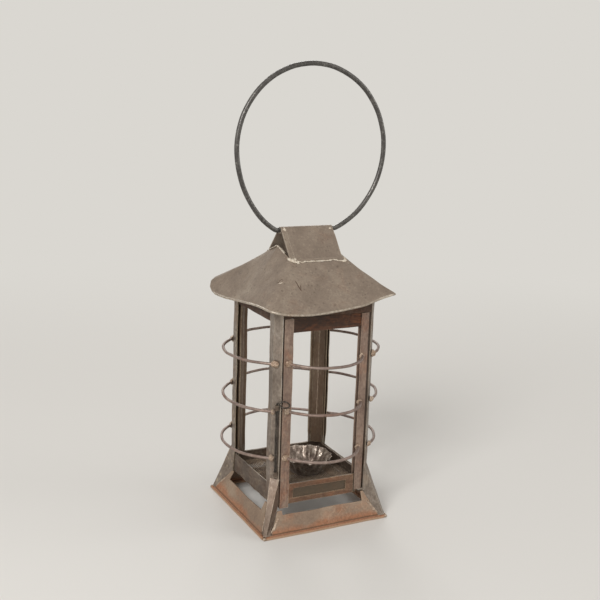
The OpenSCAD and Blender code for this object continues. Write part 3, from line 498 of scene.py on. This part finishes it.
def latchPath():
    size = latchSize
    eye = Vector((size["eyeX"], size["eyeY"], size["eyeZ"]))
    rod = Vector((size["x"], size["y"], size["eyeZ"]))
    turn = math.radians(size["legTurn"])
    aside = Vector((math.cos(turn), math.sin(turn), 0)) * size["apart"]
    heights = [size["low"] + step * (size["high"] - size["low"]) / 12 for step in range(13)]
    legUp = [Vector((rod.x, rod.y, high)) - aside for high in heights]
    legDown = [Vector((rod.x, rod.y, high)) + aside for high in reversed(heights)]
    toRod = Vector((rod.x - eye.x, rod.y - eye.y, 0))
    touching = math.degrees(math.acos(size["eye"] / toRod.length))
    base = math.degrees(math.atan2(toRod.y, toRod.x))
    bend = [legUp[-1] + Vector((0, -0.15, 1.3)), legUp[-1] + Vector((0.1, -0.7, 2.2))]
    for step in range(25):
        angle = math.radians(base - touching - step / 24 * (360 - 2 * touching))
        spot = eye + Vector((math.cos(angle), math.sin(angle), 0)) * size["eye"]
        spot.z += (spot.y - eye.y) * math.tan(math.radians(size["tilt"]))
        bend.append(spot)
    bend += [legDown[0] + Vector((0.1, -0.7, 2.2)), legDown[0] + Vector((0, -0.15, 1.3))]
    return [spot * mm for spot in legUp + bend + legDown]


addPiece("latchWire", sweepWire(latchPath(), latchSize["wire"] * mm, latchSize["sides"]), "latch",
         finish["latchIronWire"], ["latch_wire"], sharp=70)
print("latch bent")


# Wire cloth: plain weave of 0.6 mm iron wire, 2 mm from wire to wire
clothSize = {"half": 45.1, "middle": 31.2, "pitch": 2.0, "wire": 0.3, "rise": 0.29, "steps": 2, "sides": 6}


def wireCloth():
    size = clothSize
    count = int(2 * (size["half"] - 1) / size["pitch"])
    start = -(count - 1) / 2 * size["pitch"]
    work = bmesh.new()
    for phase in (0, 1):
        path = []
        for step in range((count + 1) * size["steps"] + 1):
            along = start - size["pitch"] + step * size["pitch"] / size["steps"]
            along = max(-size["half"], min(size["half"], along))
            over = math.cos(math.pi * ((along - start) / size["pitch"] + phase)) * size["rise"]
            path.append(Vector((along, 0, size["middle"] + over)) * mm)
        strand = bpy.data.meshes.new("strand")
        one = sweepWire(path, size["wire"] * mm, size["sides"])
        one.to_mesh(strand)
        one.free()
        for number in range(phase, count, 2):
            across = (start + number * size["pitch"]) * mm
            for turned in (False, True):
                before = len(work.verts)
                work.from_mesh(strand)
                work.verts.ensure_lookup_table()
                fresh = work.verts[before:]
                if turned:  # the wires that cross go under where the first ones go over
                    for vert in fresh:
                        x, y, z = vert.co
                        vert.co = (y + across, x, 2 * size["middle"] * mm - z)
                else:
                    bmesh.ops.translate(work, verts=fresh, vec=(0, across, 0))
    for vert in work.verts:
        vert.co = handMoved(vert.co.copy(), 0.7)
    return work


addPiece("wireFloor", wireCloth(), "lantern", finish["wireCloth"], ["floor_grid"], sharp=70)

# A bent strip lines the rails behind the floor's edge and runs into the rear corners
liningSize = {"out": 45.9, "wall": 0.4, "low": 25.8, "high": 40.3, "front": -44}


def trayLining():
    size = liningSize
    work = bmesh.new()
    tall, middle = size["high"] - size["low"], (size["high"] + size["low"]) / 2
    deep = size["out"] - size["front"]
    for x, y, wide, long in ((0, size["out"] - size["wall"] / 2, 2 * size["out"], size["wall"]),
                             (-size["out"] + size["wall"] / 2, size["front"] + deep / 2 - size["wall"] / 2, size["wall"], deep - size["wall"]),
                             (size["out"] - size["wall"] / 2, size["front"] + deep / 2 - size["wall"] / 2, size["wall"], deep - size["wall"])):
        made = bmesh.ops.create_cube(work, size=1)["verts"]
        bmesh.ops.scale(work, verts=made, vec=Vector((wide, long, tall)) * mm)
        bmesh.ops.translate(work, verts=made, vec=Vector((x, y, middle)) * mm)
    cutUp(work, 4)
    for vert in work.verts:
        here = vert.co.copy()
        vert.co = handMoved(here) + wavyRail(here)
    return work


addPiece("trayLining", trayLining(), "lantern", finish["railTinplate"])
print("floor woven")


# Inside each rear corner a bent strip covers the gap between the two glass channels
cornerSize = {"far": 45.7, "near": 37.4, "fold": 41.1, "wall": 0.45, "low": 41, "high": 191.5}


def cornerLining(side):
    size = cornerSize
    work = bmesh.new()
    bmesh.ops.create_grid(work, x_segments=6, y_segments=38, size=0.5)
    folds = [Vector((size["near"], size["far"])), Vector((size["fold"], size["fold"])), Vector((size["far"], size["near"]))]
    for vert in work.verts:
        u, v = vert.co.x + 0.5, vert.co.y + 0.5
        flat = folds[0].lerp(folds[1], 2 * u) if u < 0.5 else folds[1].lerp(folds[2], 2 * u - 1)
        vert.co = handMoved(Vector((side * flat.x, flat.y, size["low"] + v * (size["high"] - size["low"]))) * mm)
    bmesh.ops.recalc_face_normals(work, faces=work.faces[:])
    if sum((face.normal for face in work.faces), Vector()).dot(Vector((side, 1, 0))) > 0:
        bmesh.ops.reverse_faces(work, faces=work.faces[:])
    bmesh.ops.solidify(work, geom=work.faces[:], thickness=size["wall"] * mm)
    # the whole lining gets the inner colour as painted shade
    inside = work.verts.layers.float.new("inside")
    for vert in work.verts:
        vert[inside] = 1
    return work


for name, side in (("rearLeftLining", -1), ("rearRightLining", 1)):
    addPiece(name, cornerLining(side), "lantern", finish["rearPostTinplate"])

# A stamped tart tin: 20 sharp flutes, a small rolled rim, and some crushing
dishSize = {"x": 8, "y": -2, "low": 32.65, "tall": 16.3, "base": 14.4, "rim": 23.6, "flutes": 20, "depth": 1.15,
            "wall": 0.45, "perFlute": 12, "crush": 0.95}


def candleDish():
    size = dishSize
    work = bmesh.new()
    count = size["flutes"] * size["perFlute"]
    ring = bmesh.ops.create_circle(work, cap_ends=False, segments=count, radius=size["base"] * 0.3 * mm)["verts"]
    bmesh.ops.contextual_create(work, geom=ring)
    rows = [(share * size["base"], 0, up) for share, up in ((0.6, 0), (0.84, 0), (0.93, 0.02))]
    for step in range(11):
        u = step / 10
        rows.append((size["base"] + (size["rim"] - size["base"]) * u ** 0.86, eased(1.5 * u - 0.1) * (1 - 0.2 * u), 0.03 + 0.95 * u))
    rows += [(size["rim"] + 0.55, 0.7, 0.99), (size["rim"] + 0.75, 0.65, 0.965), (size["rim"] + 0.5, 0.6, 0.94)]
    for radius, fluted, up in rows:
        grown = bmesh.ops.extrude_edge_only(work, edges=ringOf(ring))["geom"]
        ring = [part for part in grown if isinstance(part, bmesh.types.BMVert)]
        for vert in ring:
            turn = math.atan2(vert.co.y, vert.co.x)
            wave = abs(((turn / (2 * math.pi) * size["flutes"]) % 1) * 2 - 1) * 2 - 1  # a sharp zigzag
            out = radius + (wave - 0.15 * wave ** 3) * size["depth"] * fluted
            vert.co = Vector((math.cos(turn) * out, math.sin(turn) * out, up * size["tall"])) * mm
    bmesh.ops.recalc_face_normals(work, faces=work.faces[:])
    bmesh.ops.solidify(work, geom=work.faces[:], thickness=size["wall"] * mm)
    bmesh.ops.recalc_face_normals(work, faces=work.faces[:])
    for vert in work.verts:
        high = eased(vert.co.z / mm / size["tall"])
        crush = noise.noise_vector(vert.co / (10 * mm)) + noise.noise_vector(vert.co / (4 * mm)) * 0.6
        vert.co += crush * size["crush"] * mm * high
        vert.co.z = min(vert.co.z, (size["tall"] + 0.1) * mm)
        vert.co += Vector((size["x"], size["y"], size["low"])) * mm
    return work


addPiece("candleDish", candleDish(), "lantern", finish["stampedTinplate"], ["candle_dish"], sharp=28)
print("dish stamped")


def islandCentres(node):
    work = meshOf(node)
    left, centres = set(work.verts), []
    while left:
        reached, todo = set(), [left.pop()]
        while todo:
            vert = todo.pop()
            reached.add(vert)
            near = {edge.other_vert(vert) for edge in vert.link_edges} & left
            left -= near
            todo += near
        low = Vector([min(vert.co[axis] for vert in reached) for axis in range(3)])
        high = Vector([max(vert.co[axis] for vert in reached) for axis in range(3)])
        centres.append((low + high) / 2)
    work.free()
    return sorted(centres, key=lambda centre: tuple(round(value, 4) for value in centre))


def solderLump(work, centre, along, out, halves, seed):
    # a ball squeezed flat against the sheet, with a skin that froze unevenly
    ball = bmesh.ops.create_icosphere(work, subdivisions=4, radius=1)["verts"]
    across = out.cross(along).normalized()
    for vert in ball:
        skin = 1 + noise.noise(vert.co * 1.4 + Vector((seed, 0, 0))) * 0.35
        skin += noise.noise(vert.co * 3.5 + Vector((0, seed, 0))) * 0.16
        x, y, z = vert.co * skin
        z = max(z, -0.35)
        spread = 1 + 0.4 * max(0, 0.25 - z)  # runs out where it wets the sheet
        vert.co = kept(centre + (along * x * halves[0] * spread + across * y * halves[1] * spread + out * z * halves[2]) * mm)


def wireBeads(node, guards, side=None):
    work = bmesh.new()
    wires = [vert.co for guard in guards for vert in nodes[guard].data.vertices]
    for number, centre in enumerate(islandCentres(node)):
        atDoor = node.startswith("door")
        out = Vector((0, -1, 0)) if atDoor else Vector((math.copysign(1, centre.x), math.copysign(1, centre.y), 0)).normalized()
        near = [point for point in wires if (point - centre).length < 7 * mm]
        along = sum(near, Vector()) / max(1, len(near)) - centre
        along = (along - out * along.dot(out)).normalized()
        halves = (3.3, 2.4, 2.3)
        if atDoor and centre.x > 0.03:  # low ones, which clear the post when the door is open
            halves = (2.3, 2.0, 1.0)
            centre = centre + Vector((-0.9, 0.5, 0)) * mm
        elif centre.x < 0 and centre.y < 0 and centre.z < 0.125 and side == "left":  # clear of the latch's wire
            halves = (2.3, 2.2, 2.1)
            centre = centre + along * 0.9 * mm
        vary = 1 + 0.2 * noise.noise(centre * 900)
        solderLump(work, handMoved(centre), along, out, [half * vary for half in halves], number * 3.7 + len(node))
    return work


for side in ("left", "right", "rear"):
    node = f"guard_{side}_solder"
    addPiece(pieceName(node), wireBeads(node, [g for g in guardNodes if side in g and not g.startswith("door")], side),
             "lantern", finish["softSolder"], [node], sharp=80)
addPiece("doorGuardSolder", wireBeads("door_guard_solder", [g for g in guardNodes if g.startswith("door")]),
         "door", finish["softSolder"], ["door_guard_solder"], sharp=80)

def lanternSurface():  # everything that a strip or a seam can lie on, with the hand work in it
    together = bmesh.new()
    for piece in bpy.data.objects:
        if piece.type == "MESH" and piece.get("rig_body") == "lantern" and "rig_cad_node" not in piece:
            together.from_mesh(piece.data)
    tree = BVHTree.FromBMesh(together)
    together.free()
    return tree


surface = lanternSurface()


def onSheet(point, inward, reach=9):
    hit = surface.ray_cast(point - inward * 4 * mm, inward, reach * mm)
    return (hit[0], hit[1] if hit[1].dot(inward) < 0 else -hit[1]) if hit[0] else (None, None)


def laidStrip(work, corners, inward, wall, steps, wander=0.0, seed=0):
    # a thin strip that lies on what is below it: four corners, low left first, anticlockwise
    inward = Vector(inward).normalized()
    a, b, c, d = (Vector(corner) * mm for corner in corners)
    strip = bmesh.new()
    bmesh.ops.create_grid(strip, x_segments=steps[0], y_segments=steps[1], size=0.5)
    for vert in strip.verts:
        u, v = vert.co.x + 0.5, vert.co.y + 0.5
        point = a.lerp(b, u).lerp(d.lerp(c, u), v)
        point += noise.noise_vector(point / (6 * mm) + Vector((seed, 0, 0))) * wander * mm
        spot, facing = onSheet(point, inward)
        vert.co = (spot if spot else point) - inward * wall * mm
    bmesh.ops.recalc_face_normals(strip, faces=strip.faces[:])
    if sum((face.normal for face in strip.faces), Vector()).dot(inward) > 0:
        bmesh.ops.reverse_faces(strip, faces=strip.faces[:])
    bmesh.ops.solidify(strip, geom=strip.faces[:], thickness=(wall + 0.15) * mm)
    held = bpy.data.meshes.new("strip")
    strip.to_mesh(held)
    strip.free()
    work.from_mesh(held)


# The cap's front and back plates end in a foot on the hood, and one edge is folded over
capStrips = [
    ([(-25.5, -27.0, 242), (26.2, -27.4, 241), (26.4, -23.9, 244), (-25.8, -23.9, 244)], (0, 0.3, -1), 0.5, (26, 3)),
    ([(26.0, 27.0, 242), (-26.0, 27.0, 241), (-26.2, 23.9, 244), (26.2, 23.9, 244)], (0, -0.3, -1), 0.5, (26, 3)),
    ([(-26.3, -23.2, 243.5), (-21.6, -23.4, 243.2), (-21.6, -3.4, 266.6), (-26.3, -3.4, 266.6)], (0, 0.76, -0.65), 0.55, (4, 14)),
    ([(26.2, 23.0, 243.5), (21.8, 23.2, 243.2), (21.8, 3.4, 266.6), (26.2, 3.4, 266.6)], (0, -0.76, -0.65), 0.55, (4, 14)),
]
work = bmesh.new()
for number, (corners, inward, wall, steps) in enumerate(capStrips):
    laidStrip(work, corners, inward, wall, steps, 0.5, number)
addPiece("capFolds", work, "lantern", finish["hoodTinplate"], sharp=40)

# The hood's lower edge is rolled to a thin bead
eaveSize = {"bead": 1.0, "in": 0.3, "up": 0.3, "turns": 180, "from": 86, "to": 50, "search": 0.25}


def eavePath():
    size = eaveSize
    hoodMesh = bmesh.new()
    hoodMesh.from_mesh(bpy.data.objects["roofHood"].data)
    hood = BVHTree.FromBMesh(hoodMesh)
    hoodMesh.free()
    path = []
    for step in range(size["turns"]):
        turn = 2 * math.pi * step / size["turns"]
        out = Vector((math.cos(turn), math.sin(turn), 0))
        radius = size["from"]
        hit = None
        while radius > size["to"] and not hit:
            radius -= size["search"]
            hit = hood.ray_cast(out * radius * mm + Vector((0, 0, 150 * mm)), Vector((0, 0, 1)), 80 * mm)[0]
        path.append(out * (radius - size["in"]) * mm + Vector((0, 0, hit.z + size["up"] * mm)))
    smooth = []
    for i, spot in enumerate(path):
        smooth.append((path[i - 1] + spot * 2 + path[(i + 1) % len(path)]) / 4)
    return smooth


addPiece("eaveBead", sweepWire(eavePath(), eaveSize["bead"] * mm, 10, closed=True), "lantern",
         finish["eaveTinplate"], sharp=70)
print("strips and bead laid")

surface = lanternSurface()

# Solder run along a joint: the points of its line, the way it is looked at, half width in mm
down = (0, 0.3, -1)
seams = {
    "capSeams": [
        ([(-27.6, -19.5, 245), (-27.2, -23.5, 244), (-22, -26.8, 242), (-5, -27.3, 242), (15, -27.1, 242), (25.6, -28.2, 241)], down, 0.65),
        ([(-28, -21, 245), (-26.5, -24.8, 243), (-23, -26.8, 242), (-19, -27.3, 242)], down, 1.5),
        ([(-24.5, -24.5, 244), (-20.5, -24.4, 244)], down, 1.2),
        ([(26.4, -20.5, 246), (27.2, -25.5, 243), (27, -28.3, 240), (23.5, -28.2, 240)], down, 1.1),
        ([(-26, 27.3, 242), (26, 27.3, 242)], (0, -0.3, -1), 0.8),
        ([(-24.5, -3.9, 267), (-21, -3.6, 267)], (0, 0.76, -0.65), 1.9),
        ([(22, -4.1, 267), (24.5, -3.9, 267)], (0, 0.76, -0.65), 1.1),
        ([(-41 + 2.3 * math.cos(turn), -36.2 + 2.3 * math.sin(turn), 228) for turn in (2.4, 3.4, 4.4, 5.4)], down, 0.4),
    ],
    "gableSeams": [
        ([(-26.9, 17, 246.4), (-27.1, 9, 249.4), (-27.1, 1, 252.5), (-27, -6, 250.6), (-27, -14, 247.6)], None, 1.15),
        ([(26.9, 15, 247), (27, 0, 252.5), (26.9, -15, 247)], None, 0.7),
    ],
    "hoodScars": [
        ([(-28.6, -38.6, 227), (-27.4, -41.5, 224), (-25.2, -45.6, 220)], down, 0.5),
        ([(-24.6, -41.2, 224), (-25.6, -44.6, 221)], down, 0.4),
        ([(-41 + 1.9 * math.cos(turn), -36.2 + 1.9 * math.sin(turn), 228) for turn in range(7)], down, 0.4),
    ],
    "foldSeams": [  # thin runs down the inside of each rear corner
        ([(-40.4, 40.4, 60), (-40.6, 40.6, 118), (-40.4, 40.4, 176)], (-1, 1, 0), 0.5),
        ([(40.4, 40.4, 70), (40.6, 40.6, 120), (40.4, 40.4, 168)], (1, 1, 0), 0.5),
    ],
    "skirtSeams": [],
}
for turn in range(4):
    spin = Matrix.Rotation(math.radians(90 * turn), 3, "Z")
    for side in (-1, 1):
        line = [spin @ Vector((side * across, -80, up)) for across, up in ((54.8, 4.4), (50, 10.6), (45.4, 16.4))]
        seams["skirtSeams"].append((line, spin @ Vector((0, 1, 0)), 1.15))


def solderSeam(work, line, inward, width, seed):
    inward = Vector(inward).normalized() if inward is not None else None
    stops = [Vector(stop) * mm for stop in line]
    path = []
    for start, end in zip(stops, stops[1:]):
        count = max(1, int((end - start).length / (0.8 * mm)))
        for step in range(count + (end is stops[-1])):
            point = start.lerp(end, step / count)
            if inward is None:
                path.append((handMoved(point, 1.3), Vector((0, 0, 1))))
                continue
            point += noise.noise_vector(Vector((len(path) * 0.21, seed, 0))) * 0.45 * mm
            reach = 9
            if abs(inward.z) < 0.1:  # looked at from the side, it starts well outside the skirt
                reach = 40
            spot, facing = onSheet(point, inward, reach)
            if spot and (not path or (spot - path[-1][0]).length < 3 * mm):
                path.append((spot, facing))
    if len(path) < 3:
        print("seam finds no sheet", seed)
        return
    lumps = bmesh.new()
    ring = bmesh.ops.create_circle(lumps, cap_ends=True, segments=10, radius=1)["verts"]
    shape = [vert.co.copy() for vert in ring]
    for step, (spot, facing) in enumerate(path):
        if step:
            grown = bmesh.ops.extrude_edge_only(lumps, edges=ringOf(ring))["geom"]
            ring = [part for part in grown if isinstance(part, bmesh.types.BMVert)]
        ahead = (path[min(step + 1, len(path) - 1)][0] - path[max(step - 1, 0)][0]).normalized()
        across = facing.cross(ahead).normalized()
        ends = min(1, 0.35 + min(step, len(path) - 1 - step) * 0.4)
        wide = width * ends * (1 + noise.noise(Vector((step * 0.37, seed * 3.1, 1))) * 0.9)
        for vert, flat in zip(ring, shape):
            vert.co = spot + (across * flat.x * wide + facing * max(flat.y, -0.3) * wide * 0.5) * mm
    bmesh.ops.contextual_create(lumps, geom=ring)
    bmesh.ops.recalc_face_normals(lumps, faces=lumps.faces[:])
    held = bpy.data.meshes.new("seam")
    lumps.to_mesh(held)
    lumps.free()
    work.from_mesh(held)


for number, (name, lines) in enumerate(seams.items()):
    work = bmesh.new()
    for count, line in enumerate(lines):
        solderSeam(work, *line, seed=number * 10 + count)
    made = {"hoodScars": "headerTinplate", "skirtSeams": "softSolder", "foldSeams": "softSolder"}.get(name, "cleanSolder")
    addPiece(name, work, "lantern", finish[made], sharp=80)
print("solder run")


# Pale paper floor that fades into an equally pale backdrop, with the object's shadow kept on it
studio = {"floor": "#d8d5d0", "fibre": "#dad7d2", "seen": "#dad7d1", "light": "#dcdad6", "skyLight": 0.55,
          "fadeFrom": 0.35, "fadeTo": 1.3}
floorMesh = bpy.data.meshes.new("studioFloor")
work = bmesh.new()
bmesh.ops.create_circle(work, cap_ends=True, segments=64, radius=9)
work.to_mesh(floorMesh)
work.free()
floor = bpy.data.objects.new("studioFloor", floorMesh)
bpy.context.scene.collection.objects.link(floor)
paper = bpy.data.materials.new("floorPaper")  # matt paper, evenly lit
paper.use_nodes = True
paperTree = paper.node_tree
paperShader = paperTree.nodes["Principled BSDF"]
floorPlace = addNode(paperTree, "TexCoord").outputs["Object"]
fibre = addNode(paperTree, "TexNoise", {"Vector": floorPlace, "Scale": 900.0}).outputs[0]
paperTone = addNode(paperTree, "ValToRGB", {"Fac": fibre}, stops=[
    (0.3, toLinear(studio["floor"])), (0.7, toLinear(studio["fibre"]))]).outputs[0]
paperTree.links.new(paperTone, paperShader.inputs["Base Color"])
paperShader.inputs["Roughness"].default_value = 0.9
away = addNode(paperTree, "VectorMath", {0: floorPlace}, operation="LENGTH").outputs["Value"]
far = addNode(paperTree, "MapRange", {"Value": away, "From Min": studio["fadeFrom"], "From Max": studio["fadeTo"]},
              interpolation_type="SMOOTHSTEP").outputs[0]


def seenShare(tree):  # 1 for what the camera, metal and glass look at, 0 for light that falls on things
    rays = addNode(tree, "LightPath").outputs
    both = addNode(tree, "Math", {0: rays["Is Camera Ray"], 1: rays["Is Glossy Ray"]}, operation="MAXIMUM").outputs[0]
    return addNode(tree, "Math", {0: both, 1: rays["Is Transmission Ray"]}, operation="MAXIMUM").outputs[0]


fade = addNode(paperTree, "Math", {0: far, 1: seenShare(paperTree)}, operation="MULTIPLY").outputs[0]
distant = addNode(paperTree, "Emission", {"Color": toLinear(studio["seen"]), "Strength": 1.0}).outputs[0]
blended = addNode(paperTree, "MixShader", {0: fade, 1: paperShader.outputs[0], 2: distant}).outputs[0]
paperTree.links.new(blended, paperTree.nodes["Material Output"].inputs["Surface"])
floorMesh.materials.append(paper)

world = bpy.data.worlds.new("studio")
bpy.context.scene.world = world
world.use_nodes = True
skyTree = world.node_tree
skyTree.nodes.clear()
lit = addNode(skyTree, "Background", {"Color": toLinear(studio["light"]), "Strength": studio["skyLight"]}).outputs[0]
seen = addNode(skyTree, "Background", {"Color": toLinear(studio["seen"]), "Strength": 1.0}).outputs[0]
sky = addNode(skyTree, "MixShader", {0: seenShare(skyTree), 1: lit, 2: seen}).outputs[0]
addNode(skyTree, "OutputWorld", {"Surface": sky})

lamps = {  # place in metres, size in metres, power in watts
    "keyLamp": ((-1.35, -1.05, 1.3), 0.9, 29),
    "fillLamp": ((1.5, -0.9, 0.8), 1.2, 8),
    "backLamp": ((0.5, 1.6, 1.3), 1.0, 11),
}
for name, (spot, size, power) in lamps.items():
    data = bpy.data.lights.new(name, "AREA")
    data.shape, data.size, data.energy = "DISK", size, power
    lamp = bpy.data.objects.new(name, data)
    lamp.location = spot
    lamp.rotation_euler = (Vector((0, 0, 0.18)) - Vector(spot)).to_track_quat("-Z", "Y").to_euler()
    bpy.context.scene.collection.objects.link(lamp)

# The photograph's own view, worked out from the straight edges of the body
shot = {"azimuth": -27.26, "elevation": 12.67, "roll": 1.96, "distance": 892, "aimRight": -2.9, "aimUp": 200,
        "focal": 967.4, "frame": 600}


def addCamera():
    turn, rise, roll = (math.radians(shot[key]) for key in ("azimuth", "elevation", "roll"))
    back = Vector((math.sin(turn) * math.cos(rise), -math.cos(turn) * math.cos(rise), math.sin(rise)))
    right = Vector((math.cos(turn), math.sin(turn), 0))
    up = back.cross(right)
    aim = right * shot["aimRight"] * mm + Vector((0, 0, shot["aimUp"] * mm))
    side = right * math.cos(roll) + up * math.sin(roll)
    top = up * math.cos(roll) - right * math.sin(roll)
    lens = bpy.data.cameras.new("photoCamera")
    lens.sensor_width = 36
    lens.lens = shot["focal"] / shot["frame"] * lens.sensor_width
    lens.clip_start, lens.clip_end = 0.05, 40
    camera = bpy.data.objects.new("photoCamera", lens)
    camera.matrix_world = Matrix.Translation(aim + back * shot["distance"] * mm) @ Matrix((side, top, back)).transposed().to_4x4()
    bpy.context.scene.collection.objects.link(camera)
    bpy.context.scene.camera = camera


addCamera()
bpy.context.scene.view_settings.view_transform = "Standard"
print("stage set")
